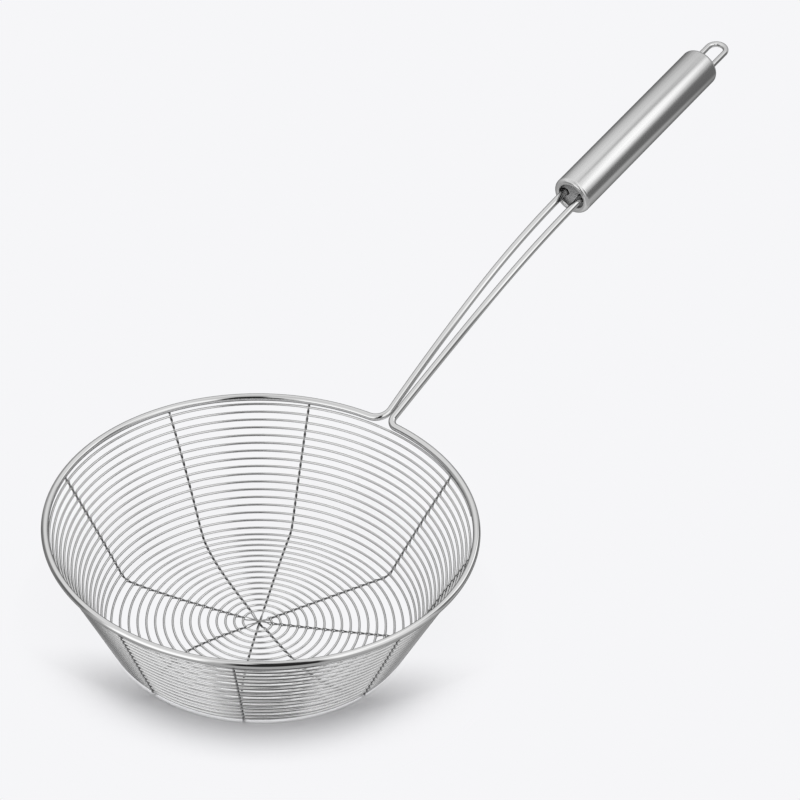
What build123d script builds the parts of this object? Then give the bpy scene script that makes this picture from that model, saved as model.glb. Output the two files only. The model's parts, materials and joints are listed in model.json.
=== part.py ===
from build123d import *
import math
import os

import numpy as np

# Spider skimmer: a shallow wire basket on a long handle, for lifting food out of hot liquid.
# The origin is on the basket's axis, at the level that the basket stands on.
# Z points up, X points from the basket toward the handle, and lengths are in millimetres.

# Frame wire: one bent wire makes the ring, the neck and both shafts
frame_wire_diameter = 3.2
ring_outer_diameter = 180.0
ring_rise = 50.9
neck_spacing = 3.6
neck_bend_radius = 4.0
shaft_start_slope = 21.0
shaft_start_spread = 2.0

# Basket coil: a flat spiral for the floor and a conical one for the wall
coil_wire_diameter = 1.0
coil_inner_radius = 4.65
knee_radius = 62.8
knee_bend_radius = 5.0
floor_pitch = 3.65
wall_pitch = 3.35
coil_start_azimuth = -11.0
ring_to_coil_gap = 0.1

# Ribs: four twisted pairs that run through the coil from rim to rim and cross in the middle
strand_diameter = 0.5
weave_gap = 0.04
strand_gap = 0.08
layer_gap = 0.02
strand_seat_gap = 0.05
crossing_flat = 1.9
twist_share = 0.38

# Azimuths of each pair's two halves, in degrees from the handle: on the floor, at the knee, at the rim
pair_azimuths = {
    "1": ((62.8, 59.3, 62.7), (-114.3, -101.4, -104.2)),
    "2": ((24.5, 23.9, 22.9), (-155.0, -149.4, -151.0)),
    "3": ((-23.6, -23.8, -28.7), (156.0, 173.7, 176.1)),
    "4": ((102.9, 100.7, 104.2), (-62.8, -62.2, -64.4)),
}
azimuth_blend_count = 3

# Handle: a drawn tube with turned-in ends
tube_diameter = 18.0
tube_wall = 0.5
tube_length = 106.0
tube_slope = 8.0
tube_front_distance = 226.6
tube_front_rise = 40.1
shoulder_radius = 2.0
shaft_spacing = 8.4
shaft_mouth_gap = 0.3
shaft_in_tube = 26.0

# Plugs inside the tube
plug_fit = 0.05
plug_seat_gap = 0.1
front_plug_thickness = 1.6
front_plug_hole_gap = 0.5
anchor_length = 9.0
anchor_hole_gap = 0.05

# Hanging loop: a bent wire at the tube's rear end
loop_wire_diameter = 2.6
loop_spacing = 8.6
loop_straight = 12.8
loop_mouth_gap = 0.3
loop_in_tube = 16.0

# Worked out from the sizes above
frame_wire_radius = frame_wire_diameter / 2
ring_radius = ring_outer_diameter / 2 - frame_wire_radius
coil_wire_radius = coil_wire_diameter / 2
strand_radius = strand_diameter / 2
over_offset = coil_wire_radius + strand_radius + weave_gap
side_offset = strand_radius + strand_gap / 2
floor_level = over_offset + strand_radius
ring_level = floor_level + ring_rise
wall_length = math.hypot(ring_radius - knee_radius, ring_rise)
wall_outward_share = (ring_radius - knee_radius) / wall_length
wall_upward_share = ring_rise / wall_length
knee_angle = math.acos(wall_outward_share)
knee_setback = knee_bend_radius * math.tan(knee_angle / 2)
flat_reach = knee_radius - knee_setback
knee_reach = flat_reach + knee_bend_radius * knee_angle
rim_reach = knee_reach + wall_length - knee_setback
knee_middle = (flat_reach + knee_reach) / 2
coil_reach = rim_reach - frame_wire_radius - coil_wire_radius - ring_to_coil_gap
floor_angle = 2 * math.pi * (knee_middle - coil_inner_radius) / floor_pitch
wall_angle = 2 * math.pi * (coil_reach - knee_middle) / wall_pitch
start_azimuth = math.radians(coil_start_azimuth)

tube_radius = tube_diameter / 2
bore_radius = tube_radius - tube_wall
shaft_mouth_radius = shaft_spacing / 2 + frame_wire_radius + shaft_mouth_gap
loop_mouth_radius = loop_spacing / 2 + loop_wire_diameter / 2 + loop_mouth_gap
crown_radius = tube_radius - shoulder_radius
front_lip = crown_radius - shaft_mouth_radius
rear_lip = crown_radius - loop_mouth_radius
tube_direction = Vector(math.cos(math.radians(tube_slope)), 0, math.sin(math.radians(tube_slope)))
sideways = Vector(0, 1, 0)
tube_front = Vector(tube_front_distance, 0, ring_level + tube_front_rise)
handle_plane = Plane(origin=tube_front, x_dir=sideways, z_dir=sideways.cross(tube_direction))

# Small steps and counts for the searches and measurements below
straight_share = 1e-6
angle_step = 1e-4
coil_end_margin = 0.02
distance_step = 0.01
search_rounds = 8
ring_arcs = 4
samples_per_arc = 24
samples_per_strand_arc = 6


def biarc(start, start_tangent, end, end_tangent):
    """Join two points that have given tangents with two arcs that meet smoothly."""
    first = start_tangent.normalized()
    last = end_tangent.normalized()
    chord = end - start
    total = first + last
    bend = 2 * (1 - first.dot(last))
    along = chord.dot(total)
    reach = chord.dot(chord) / (along + math.sqrt(along * along + bend * chord.dot(chord)))
    joint = (start + first * reach + end - last * reach) / 2
    middle = (end - last * reach - start - first * reach).normalized()
    return [smooth_edge(start, first, joint), smooth_edge(joint, middle, end)]


def smooth_edge(start, tangent, end):
    """An arc that leaves the start along the tangent, or a line where there is no bend."""
    chord = end - start
    if tangent.cross(chord.normalized()).length < straight_share:
        return Edge.make_line(start, end)
    return Edge.make_tangent_arc(start, tangent, end)


def wire_along(edges, diameter):
    """A round wire whose centre follows the joined edges."""
    path = Wire(edges)
    section = Plane(origin=path @ 0, z_dir=path % 0) * Circle(diameter / 2)
    return sweep(section, path=path).solid()


def sampled(edges, count):
    """Points along the joined edges, as rows of an array."""
    rows = [tuple(edge @ (step / count)) for edge in edges for step in range(count)]
    rows.append(tuple(edges[-1] @ 1))
    return np.array(rows)


def least_gap(points, angles, diameter):
    """Least gap between turns of one wire, from points more than half a turn apart."""
    least = math.inf
    for point, angle in zip(points, angles):
        others = points[np.abs(angles - angle) > math.pi]
        if len(others):
            least = min(least, np.sqrt(((others - point) ** 2).sum(axis=1)).min())
    return least - diameter


def coil_distance(angle):
    """How far along the basket's surface the coil has come, from the axis outward."""
    if angle < floor_angle:
        return coil_inner_radius + floor_pitch * angle / (2 * math.pi)
    return knee_middle + wall_pitch * (angle - floor_angle) / (2 * math.pi)


def surface_point(distance, azimuth):
    """A point of the basket's surface: on the flat floor, in the rounded knee or on the wall."""
    if distance < flat_reach:
        radius = distance
        climb = 0
    elif distance < knee_reach:
        turned = (distance - flat_reach) / knee_bend_radius
        radius = flat_reach + knee_bend_radius * math.sin(turned)
        climb = knee_bend_radius * (1 - math.cos(turned))
    else:
        slant = distance - knee_reach + knee_setback
        radius = knee_radius + slant * wall_outward_share
        climb = slant * wall_upward_share
    return Vector(radius * math.cos(azimuth), radius * math.sin(azimuth), floor_level + climb)


def rib_point(azimuths, distance):
    """A point of a rib at a distance from the axis."""
    return surface_point(distance, rib_azimuth(azimuths, distance))


def rib_direction(azimuths, distance):
    """The direction in which a rib runs outward at a distance from the axis."""
    ahead = rib_point(azimuths, distance + distance_step)
    return (ahead - rib_point(azimuths, distance - distance_step)).normalized()


def coil_point(angle):
    """The coil's point where it has turned by an angle."""
    return surface_point(coil_distance(angle), start_azimuth - angle)


def coil_tangent(angle):
    """The coil's direction, shared by the floor and the wall where they meet."""
    before = coil_point(angle) - coil_point(angle - angle_step)
    after = coil_point(angle + angle_step) - coil_point(angle)
    return (before + after).normalized()


def coil_edges(first_angle, last_angle):
    """Biarcs of half a turn each along the coil."""
    count = math.ceil((last_angle - first_angle) / math.pi)
    stops = [min(first_angle + math.pi * number, last_angle) for number in range(count + 1)]
    edges = []
    for here, there in zip(stops, stops[1:]):
        edges += biarc(coil_point(here), coil_tangent(here), coil_point(there), coil_tangent(there))
    return edges


def rib_azimuth(azimuths, distance):
    """Where a rib runs: it may lean on the floor, then goes straight up the wall."""
    on_floor, at_knee, at_rim = (math.radians(value) for value in azimuths)
    share = min(distance / knee_middle, 1) ** azimuth_blend_count
    climb_share = max(distance - knee_middle, 0) / (rim_reach - knee_middle)
    return on_floor + (at_knee - on_floor) * share + (at_rim - at_knee) * climb_share


def crossings(azimuths, coil_angles, coil_points):
    """Each place where a rib crosses the coil: its point, the coil's direction and its distance."""
    found = []
    turn = -2
    while turn < len(coil_angles):
        angle = 2 * math.pi * turn
        for _ in range(search_rounds):
            near = min(max(angle, 0), coil_angles[-1])
            angle = start_azimuth - rib_azimuth(azimuths, coil_distance(near)) + 2 * math.pi * turn
        if angle > coil_angles[-1] - coil_end_margin:
            break
        if angle > coil_end_margin:
            radius = np.interp(angle, coil_angles, np.hypot(coil_points[:, 0], coil_points[:, 1]))
            level = np.interp(angle, coil_angles, coil_points[:, 2])
            place = start_azimuth - angle
            point = Vector(radius * math.cos(place), radius * math.sin(place), level)
            found.append((point, coil_tangent(angle), coil_distance(angle)))
        turn += 1
    return found


def rim_end(azimuths, last_distance, outward, sign):
    """A pair's end below the ring, with the strand's place in the twist."""
    to_ring = rim_reach - frame_wire_radius - strand_seat_gap - last_distance
    phase = min(math.pi * to_ring / wall_pitch, math.pi / 2)
    over = over_offset * math.cos(phase)
    edge = max(over - strand_radius, 0)
    stop = rim_reach - strand_seat_gap - math.sqrt(frame_wire_radius ** 2 - edge ** 2)
    normal = upward_normal(rib_direction(azimuths, stop), level_side(rib_azimuth(azimuths, stop)))
    across = outward * sign * side_offset * math.sin(phase)
    forward = rib_direction(azimuths, stop) * outward
    return (rib_point(azimuths, stop), forward, normal, sign * over, across, 0)


def pair_stations(halves, height, coil_angles, coil_points):
    """Places that one twisted pair passes, from rim to rim, each with its frame and offsets."""
    first = [(*place, halves[0], -1) for place in crossings(halves[0], coil_angles, coil_points)]
    second = [(*place, halves[1], 1) for place in crossings(halves[1], coil_angles, coil_points)]
    heading = (level_direction(halves[1][0]) - level_direction(halves[0][0])).normalized()
    middle = Vector(0, 0, floor_level + height)
    sign = 1
    stations = [rim_end(halves[0], first[-1][2], -1, sign)]
    previous = None
    for centre, tangent, distance, azimuths, outward in list(reversed(first)) + second:
        if previous is not None and outward != previous[1]:
            for reach in (-crossing_flat, crossing_flat):
                point = middle + heading * reach
                stations.append((point, heading, Vector(0, 0, 1), 0, -sign * side_offset, 0))
        elif previous is not None and in_knee(previous[0], distance):
            between = (previous[0] + distance) / 2
            forward = rib_direction(azimuths, between) * outward
            normal = upward_normal(forward, level_side(rib_azimuth(azimuths, between)))
            stations.append((rib_point(azimuths, between), forward, normal, 0, -sign * side_offset, 0))
        forward = rib_direction(azimuths, distance) * outward
        normal = upward_normal(forward, tangent)
        stations.append((centre, forward, normal, sign * over_offset, 0, sign * twist_share))
        previous = (distance, outward)
        sign = -sign
    return stations + [rim_end(halves[1], second[-1][2], 1, -sign)]


def in_knee(one, other):
    """Whether the stretch between two distances has any of the rounded knee in it."""
    return min(one, other) < knee_reach and max(one, other) > flat_reach


def level_direction(azimuth):
    """The level direction at an azimuth in degrees."""
    return Vector(math.cos(math.radians(azimuth)), math.sin(math.radians(azimuth)), 0)


def level_side(azimuth):
    """The level direction square to an azimuth in radians."""
    return Vector(-math.sin(azimuth), math.cos(azimuth), 0)


def upward_normal(forward, across):
    """The basket surface's normal between two directions that lie in it, on the food's side."""
    normal = forward.cross(across).normalized()
    return normal if normal.Z > 0 else -normal


def strand_edges(stations, strand_sign):
    """The centre line of one of a pair's two strands."""
    points = []
    tangents = []
    for centre, forward, normal, over, across, slope in stations:
        side = normal.cross(forward)
        points.append(centre + normal * (strand_sign * over) + side * (strand_sign * across))
        tangents.append(forward + side * (strand_sign * slope))
    edges = []
    for place in range(len(points) - 1):
        edges += biarc(points[place], tangents[place], points[place + 1], tangents[place + 1])
    return edges


def handle_point(side, along):
    """A point of the handle's middle plane, sideways from its axis and along it from its front."""
    return tube_front + sideways * side + tube_direction * along


def neck(side):
    """Where one shaft leaves the ring: the bend's start on the ring, its end and its direction."""
    rise = math.radians(shaft_start_slope)
    spread = math.radians(shaft_start_spread)
    leaving = Vector(math.cos(rise) * math.cos(spread), side * math.sin(spread), math.sin(rise))
    leaving = leaving.normalized()
    azimuth = 0
    for _ in range(search_rounds):
        along_ring = Vector(math.sin(azimuth), -side * math.cos(azimuth), 0)
        reach = neck_bend_radius * math.tan(math.acos(along_ring.dot(leaving)) / 2)
        inset = -side * (along_ring + leaving).Y * reach
        azimuth = math.asin((neck_spacing / 2 + inset) / ring_radius)
    start = ring_point(side * azimuth)
    return start, start + (along_ring + leaving) * reach, leaving, azimuth


def ring_point(azimuth):
    """A point of the ring's centre line at an azimuth in radians."""
    return Vector(ring_radius * math.cos(azimuth), ring_radius * math.sin(azimuth), ring_level)


def frame_wire():
    """One wire: out of the handle, round the ring and back into the handle."""
    near_start, near_end, near_leaving, azimuth = neck(1)
    far_start, far_end, far_leaving, _ = neck(-1)
    half = shaft_spacing / 2
    edges = [Edge.make_line(handle_point(half, shaft_in_tube), handle_point(half, 0))]
    edges += biarc(handle_point(half, 0), -tube_direction, near_end, -near_leaving)
    edges.append(Edge.make_tangent_arc(near_end, -near_leaving, near_start))
    sweep_angle = (2 * math.pi - 2 * azimuth) / ring_arcs
    for number in range(ring_arcs):
        first = azimuth + number * sweep_angle
        middle = first + sweep_angle / 2
        last = first + sweep_angle
        edges.append(Edge.make_three_point_arc(ring_point(first), ring_point(middle), ring_point(last)))
    toward_neck = Vector(math.sin(azimuth), math.cos(azimuth), 0)
    edges.append(Edge.make_tangent_arc(far_start, toward_neck, far_end))
    edges += biarc(far_end, far_leaving, handle_point(-half, 0), tube_direction)
    edges.append(Edge.make_line(handle_point(-half, 0), handle_point(-half, shaft_in_tube)))
    return wire_along(edges, frame_wire_diameter)


def basket():
    """The coil's two lengths and the ribs' eight strands, by name."""
    floor_edges = coil_edges(0, floor_angle)
    wall_edges = coil_edges(floor_angle, floor_angle + wall_angle)
    floor_points = sampled(floor_edges, samples_per_arc)
    wall_points = sampled(wall_edges, samples_per_arc)
    coil_points = np.vstack([floor_points, wall_points[1:]])
    azimuths = np.unwrap(np.arctan2(coil_points[:, 1], coil_points[:, 0]))
    coil_angles = azimuths[0] - azimuths
    floor_count = len(floor_points)
    for name, rows in (("floor", slice(0, floor_count)), ("wall", slice(floor_count - 1, None))):
        gap = least_gap(coil_points[rows], coil_angles[rows], coil_wire_diameter)
        turns = np.ptp(coil_angles[rows]) / (2 * math.pi)
        print(f"{name} coil: {turns:.1f} turns, least gap to itself {gap:.2f}")
    made = {
        "floor_coil": wire_along(floor_edges, coil_wire_diameter),
        "wall_coil": wire_along(wall_edges, coil_wire_diameter),
    }
    all_points = {}
    for layer, (pair, halves) in enumerate(pair_azimuths.items()):
        height = layer * (strand_diameter + layer_gap) - over_offset
        stations = pair_stations(halves, height, coil_angles, coil_points)
        for letter, strand_sign in (("a", 1), ("b", -1)):
            edges = strand_edges(stations, strand_sign)
            name = f"rib_{pair}_strand_{letter}"
            made[name] = wire_along(edges, strand_diameter)
            all_points[name] = sampled(edges, samples_per_strand_arc)
    report_gaps(all_points, coil_angles, coil_points)
    return made


def report_gaps(strands, coil_angles, coil_points):
    """Print how near the strands come to the coil and to each other."""
    names = list(strands)
    for place, name in enumerate(names):
        to_coil = coil_distance_from(strands[name], coil_angles, coil_points)
        others = [nearest(strands[name], strands[other]) for other in names[place + 1:]]
        to_others = min(others, default=math.inf) - strand_diameter
        print(f"{name}: gap to the coil {to_coil:.3f}, to the other strands {to_others:.3f}")


def coil_distance_from(points, coil_angles, coil_points):
    """Least gap between a strand and the turns that pass it, each taken at the strand's azimuth."""
    radii = np.hypot(coil_points[:, 0], coil_points[:, 1])
    own_radii = np.hypot(points[:, 0], points[:, 1])
    own_angles = (start_azimuth - np.arctan2(points[:, 1], points[:, 0])) % (2 * math.pi)
    least = math.inf
    for turn in range(math.ceil(coil_angles[-1] / (2 * math.pi))):
        angles = own_angles + 2 * math.pi * turn
        away = np.interp(angles, coil_angles, radii, left=math.inf, right=math.inf) - own_radii
        level = np.interp(angles, coil_angles, coil_points[:, 2]) - points[:, 2]
        least = min(least, np.hypot(away, level).min())
    return least - strand_radius - coil_wire_radius


def nearest(points, others):
    """Least distance between two sets of points."""
    return min(np.sqrt(((others - point) ** 2).sum(axis=1)).min() for point in points)


def quarter(centre, start, end, radius):
    """A quarter circle from one direction to another, as its start, middle and end."""
    middle = (start + end).normalized()
    return centre + start * radius, centre + middle * radius, centre + end * radius


def tube_skin(offset):
    """The turned-in tube's four corners, the given depth below its outer skin."""
    inward = Vector(-1, 0)
    outward = Vector(1, 0)
    frontward = Vector(0, -1)
    rearward = Vector(0, 1)
    front_shoulder = Vector(crown_radius, shoulder_radius)
    rear_shoulder = Vector(crown_radius, tube_length - shoulder_radius)
    return [
        quarter(Vector(crown_radius, front_lip), inward, frontward, front_lip - offset),
        quarter(front_shoulder, frontward, outward, shoulder_radius - offset),
        quarter(rear_shoulder, outward, rearward, shoulder_radius - offset),
        quarter(Vector(crown_radius, tube_length - rear_lip), rearward, inward, rear_lip - offset),
    ]


def handle_tube():
    """A thin tube whose ends turn in to a round mouth."""
    inner = [(end, middle, start) for start, middle, end in reversed(tube_skin(tube_wall))]
    edges = []
    for start, middle, end in tube_skin(0) + inner:
        if edges and (edges[-1] @ 1 - start).length > straight_share:
            edges.append(Edge.make_line(edges[-1] @ 1, start))
        edges.append(Edge.make_three_point_arc(start, middle, end))
    edges.append(Edge.make_line(edges[-1] @ 1, edges[0] @ 0))
    return revolve(make_face(Wire(edges)), axis=Axis.Y).solid()


def rod(side, start, length, radius):
    """A round rod beside the handle's axis, in the handle's own plane."""
    return Solid.make_cylinder(radius, length, Plane(origin=(side, start, 0), z_dir=(0, 1, 0)))


def plug(start, length, spacing, hole_radius):
    """A disc that fills the tube's bore, with two holes for a wire's legs."""
    body = rod(0, start, length, bore_radius - plug_fit)
    for side in (-spacing / 2, spacing / 2):
        body -= rod(side, start, length, hole_radius)
    return body.solid()


def hanging_loop():
    """A bent wire with two straight legs and a round end."""
    half = loop_spacing / 2
    inside = tube_length - loop_in_tube
    bend = tube_length + loop_straight
    edges = [
        Edge.make_line((half, inside), (half, bend)),
        Edge.make_three_point_arc((half, bend), (0, bend + half), (-half, bend)),
        Edge.make_line((-half, bend), (-half, inside)),
    ]
    return wire_along(edges, loop_wire_diameter)


def handle():
    """The handle's pieces, by name, set in their place on the object."""
    shaft_hole = frame_wire_radius + anchor_hole_gap
    loop_hole = loop_wire_diameter / 2 + anchor_hole_gap
    front_start = max(shoulder_radius, front_lip) + plug_seat_gap
    shaft_anchor_start = shaft_in_tube - anchor_length
    loop_anchor_start = tube_length - loop_in_tube
    pieces = {
        "handle_tube": handle_tube(),
        "front_plug": plug(
            front_start, front_plug_thickness, shaft_spacing, frame_wire_radius + front_plug_hole_gap
        ),
        "shaft_anchor": plug(shaft_anchor_start, anchor_length, shaft_spacing, shaft_hole),
        "loop_anchor": plug(loop_anchor_start, anchor_length, loop_spacing, loop_hole),
        "hanging_loop": hanging_loop(),
    }
    return {name: handle_plane.location * piece for name, piece in pieces.items()}


os.makedirs("parts", exist_ok=True)
nodes = {"frame_wire": frame_wire()}
nodes.update(basket())
nodes.update(handle())
for name, solid in nodes.items():
    export_step(solid, f"parts/{name}.step")
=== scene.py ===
"""Looks of a spider skimmer: a coiled wire basket on a long double shaft with a tubular handle.

Lengths are in millimetres and azimuths in degrees from the handle, until a mesh is made in metres.
"""

from __future__ import annotations

import json
import logging
import math
from collections.abc import Sequence
from dataclasses import dataclass, field
from enum import Enum

import bmesh
import bpy
import numpy as np
from mathutils import Matrix, Vector

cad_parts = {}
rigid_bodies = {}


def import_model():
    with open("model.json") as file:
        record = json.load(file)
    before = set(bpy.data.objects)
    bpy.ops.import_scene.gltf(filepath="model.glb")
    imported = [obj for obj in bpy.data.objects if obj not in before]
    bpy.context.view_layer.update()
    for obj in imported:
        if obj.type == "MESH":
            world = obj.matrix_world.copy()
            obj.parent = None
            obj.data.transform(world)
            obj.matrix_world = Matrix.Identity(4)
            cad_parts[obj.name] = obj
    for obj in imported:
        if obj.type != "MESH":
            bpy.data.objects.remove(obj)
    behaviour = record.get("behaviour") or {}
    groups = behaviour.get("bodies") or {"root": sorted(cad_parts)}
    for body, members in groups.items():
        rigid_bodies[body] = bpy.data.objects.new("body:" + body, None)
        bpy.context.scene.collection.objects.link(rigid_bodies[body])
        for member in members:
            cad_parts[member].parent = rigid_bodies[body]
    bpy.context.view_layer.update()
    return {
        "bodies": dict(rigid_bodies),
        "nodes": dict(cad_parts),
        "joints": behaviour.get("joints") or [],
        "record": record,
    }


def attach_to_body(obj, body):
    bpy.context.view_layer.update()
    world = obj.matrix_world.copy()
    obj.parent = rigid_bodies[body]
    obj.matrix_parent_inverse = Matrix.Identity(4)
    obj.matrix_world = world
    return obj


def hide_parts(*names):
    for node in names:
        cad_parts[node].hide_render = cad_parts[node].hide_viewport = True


LOG = logging.getLogger("skimmer")
ROOT_BODY = "root"

MM = 0.001
RELIEF_DEPTH = 0.01
FULL_TURN = 2 * math.pi
UP = np.array([0.0, 0.0, 1.0])
WHITE = (1.0, 1.0, 1.0, 1.0)
BLACK = (0.0, 0.0, 0.0, 1.0)

# Attributes that the meshes carry
WIRE_COORDINATE = "along_wire"
WIRE_LENGTH = "wire_length"
WIRE_SECTION = "wire_section"
# Share of painted shade where the two strands of a twisted pair meet
PAINTED_SHADE = "painted_shade"
TENT_TONE = "tent_tone"

# What a node's input takes: a plain value, or the output that gives it
Feed = float | str | Sequence[float] | bpy.types.NodeSocket


class Slot(Enum):
    """The record's material slots."""

    FRAME = "frame_wire"
    COIL = "coil_wire"
    RIB = "rib_wire"
    TUBE = "handle_tube"
    PLUG = "front_plug"
    ANCHOR = "anchor"
    LOOP = "loop_wire"


class ValueKind(Enum):
    """What a mesh attribute holds at each point."""

    NUMBER = "FLOAT"
    VECTOR = "FLOAT_VECTOR"


class MixKind(Enum):
    """What a Mix node mixes: its data type, and the numbers of its two values and its result."""

    NUMBER = ("FLOAT", 2, 3, 0)
    COLOUR = ("RGBA", 6, 7, 2)


@dataclass(frozen=True)
class RingSizes:
    """The bent wire that makes the ring, the neck and both shafts."""

    wire_diameter: float = 3.2
    outer_diameter: float = 180.0
    rise: float = 50.9
    neck_spacing: float = 3.35
    # For the shaft on +Y, then for the other
    neck_bend_radii: tuple[float, float] = (7.0, 4.0)
    shaft_start_slope: float = 21.0
    shaft_start_spread: float = 2.0

    @property
    def radius(self) -> float:
        """Radius of the ring's centre line."""
        return (self.outer_diameter - self.wire_diameter) / 2


@dataclass(frozen=True)
class CoilSizes:
    """The flat spiral of the floor and the conical one of the wall."""

    wire_diameter: float = 1.0
    inner_radius: float = 4.65
    knee_radius: float = 62.8
    knee_bend_radius: float = 5.0
    floor_pitch: float = 3.65
    wall_pitch: float = 3.35
    start_azimuth: float = -11.0
    ring_gap: float = 0.1


@dataclass(frozen=True)
class RibSizes:
    """The twisted pairs that run through the coil from rim to rim."""

    strand_diameter: float = 0.5
    weave_gap: float = 0.04
    strand_gap: float = 0.02
    layer_gap: float = 0.02
    seat_gap: float = 0.05
    # The pairs run straight across each other this close to the axis
    crossing_flat: float = 1.9
    azimuth_power: int = 3
    wrap_tightness: int = 3


@dataclass(frozen=True)
class HandleSizes:
    """The tube, the hanging loop and how far the wires reach into the tube."""

    diameter: float = 18.0
    wall: float = 0.5
    length: float = 106.0
    slope: float = 8.0
    front_distance: float = 226.6
    front_rise: float = 40.1
    shoulder_radius: float = 2.0
    shaft_spacing: float = 8.4
    mouth_gap: float = 0.3
    shaft_in_tube: float = 26.0
    loop_wire_diameter: float = 2.6
    loop_spacing: float = 8.6
    loop_straight: float = 12.8
    loop_in_tube: float = 16.0


@dataclass(frozen=True)
class Lean:
    """Azimuths of one half of a rib."""

    on_floor: float
    at_knee: float
    at_rim: float


# Both halves of each rib, by the rib's number
RIBS: dict[int, tuple[Lean, Lean]] = {
    1: (Lean(62.8, 59.3, 62.7), Lean(-114.3, -101.4, -104.2)),
    2: (Lean(24.5, 23.9, 22.9), Lean(-155.0, -149.4, -151.0)),
    3: (Lean(-23.6, -23.8, -28.7), Lean(156.0, 173.7, 176.1)),
    4: (Lean(102.9, 100.7, 104.2), Lean(-62.8, -62.2, -64.4)),
}


@dataclass(frozen=True)
class Fineness:
    """How finely paths and sections are cut up, and how exactly places are found."""

    # Degrees
    coil_step: float = 2.5
    ring_step: float = 1.5
    sharp_angle: float = 40.0
    # Millimetres
    rib_step: float = 0.3
    least_step: float = 1e-4
    # Keeps the thick wires inside the construction's outer box
    skin_inset: float = 0.035
    # Counts
    arc_steps: int = 24
    bend_steps: int = 12
    lip_steps: int = 10
    frame_sides: int = 40
    coil_sides: int = 12
    strand_sides: int = 10
    loop_sides: int = 32
    tube_sides: int = 128
    crossing_rounds: int = 20
    neck_rounds: int = 8
    # An arc is straight where its end lies off its tangent by less than this share of its chord
    straight_share: float = 1e-9


FINE = Fineness()


def unit(vector: np.ndarray) -> np.ndarray:
    """Return the vector at length one."""
    return vector / np.linalg.norm(vector)


def heading(azimuth: float) -> np.ndarray:
    """Return the level direction at an azimuth in radians."""
    return np.array([math.cos(azimuth), math.sin(azimuth), 0.0])


def eased(share: float) -> float:
    """Return a share from 0 to 1 with a soft start and stop."""
    held = min(max(share, 0.0), 1.0)
    return held * held * (3 - 2 * held)


def arc(start: np.ndarray, tangent: np.ndarray, end: np.ndarray, steps: int) -> np.ndarray:
    """Sample the arc that leaves a point along a tangent and ends at another point.

    Args:
        start: First point.
        tangent: Unit direction at the first point.
        end: Last point.
        steps: Number of points, the last one left out.

    Returns:
        One row for each point.
    """
    chord = end - start
    along = float(chord.dot(tangent))
    aside = chord - tangent * along
    away = float(np.linalg.norm(aside))
    share = np.arange(steps)[:, None] / steps
    if away < np.linalg.norm(chord) * FINE.straight_share:
        return start + chord * share
    half = math.atan2(away, along)
    radius = float(np.linalg.norm(chord)) / (2 * math.sin(half))
    turned = 2 * half * share
    return start + radius * (tangent * np.sin(turned) + unit(aside) * (1 - np.cos(turned)))


def biarc(
    start: np.ndarray, leaving: np.ndarray, end: np.ndarray, arriving: np.ndarray, steps: int
) -> np.ndarray:
    """Sample two arcs that join two points with given directions and meet smoothly.

    Args:
        start: First point.
        leaving: Unit direction at the first point.
        end: Last point.
        arriving: Unit direction at the last point.
        steps: Number of points on each arc.

    Returns:
        One row for each point, the last one left out.
    """
    chord = end - start
    along = float(chord.dot(leaving + arriving))
    bend = float(2 * (1 - leaving.dot(arriving)))
    reach = float(chord.dot(chord)) / (along + math.sqrt(along**2 + bend * float(chord.dot(chord))))
    joint = (start + leaving * reach + end - arriving * reach) / 2
    middle = unit(end - arriving * reach - start - leaving * reach)
    return np.vstack([arc(start, leaving, joint, steps), arc(joint, middle, end, steps)])


class BasketSurface:
    """The surface that coil and ribs follow: a flat floor, a rounded knee and a conical wall."""

    def __init__(self, ring: RingSizes, coil: CoilSizes, rib: RibSizes) -> None:
        """Work out where the floor, the knee and the wall begin and end.

        Args:
            ring: Sizes of the ring.
            coil: Sizes of the coil.
            rib: Sizes of the ribs.
        """
        self.coil = coil
        self.over_offset = (coil.wire_diameter + rib.strand_diameter) / 2 + rib.weave_gap
        self.side_offset = (rib.strand_diameter + rib.strand_gap) / 2
        self.floor_level = self.over_offset + rib.strand_diameter / 2
        self.ring_level = self.floor_level + ring.rise
        wall_length = math.hypot(ring.radius - coil.knee_radius, ring.rise)
        self.outward = (ring.radius - coil.knee_radius) / wall_length
        self.upward = ring.rise / wall_length
        self.knee_angle = math.acos(self.outward)
        self.setback = coil.knee_bend_radius * math.tan(self.knee_angle / 2)
        self.flat_reach = coil.knee_radius - self.setback
        self.knee_reach = self.flat_reach + coil.knee_bend_radius * self.knee_angle
        self.knee_middle = (self.flat_reach + self.knee_reach) / 2
        self.rim_reach = self.knee_reach + wall_length - self.setback

    def point(self, distance: float, azimuth: float) -> np.ndarray:
        """Return a point of the surface.

        Args:
            distance: How far it lies from the axis, measured along the surface.
            azimuth: Its azimuth in radians.

        Returns:
            The point.
        """
        bend = self.coil.knee_bend_radius
        if distance < self.flat_reach:
            radius, climb = distance, 0.0
        elif distance < self.knee_reach:
            turned = (distance - self.flat_reach) / bend
            radius = self.flat_reach + bend * math.sin(turned)
            climb = bend * (1 - math.cos(turned))
        else:
            slant = distance - self.knee_reach + self.setback
            radius = self.coil.knee_radius + slant * self.outward
            climb = slant * self.upward
        return heading(azimuth) * radius + UP * (self.floor_level + climb)

    def normal(self, distance: float, azimuth: float) -> np.ndarray:
        """Return the surface's unit normal on the food's side.

        Args:
            distance: How far the place lies from the axis, measured along the surface.
            azimuth: Its azimuth in radians.

        Returns:
            The normal.
        """
        past_floor = (distance - self.flat_reach) / self.coil.knee_bend_radius
        turned = min(max(past_floor, 0.0), self.knee_angle)
        return UP * math.cos(turned) - heading(azimuth) * math.sin(turned)


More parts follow.
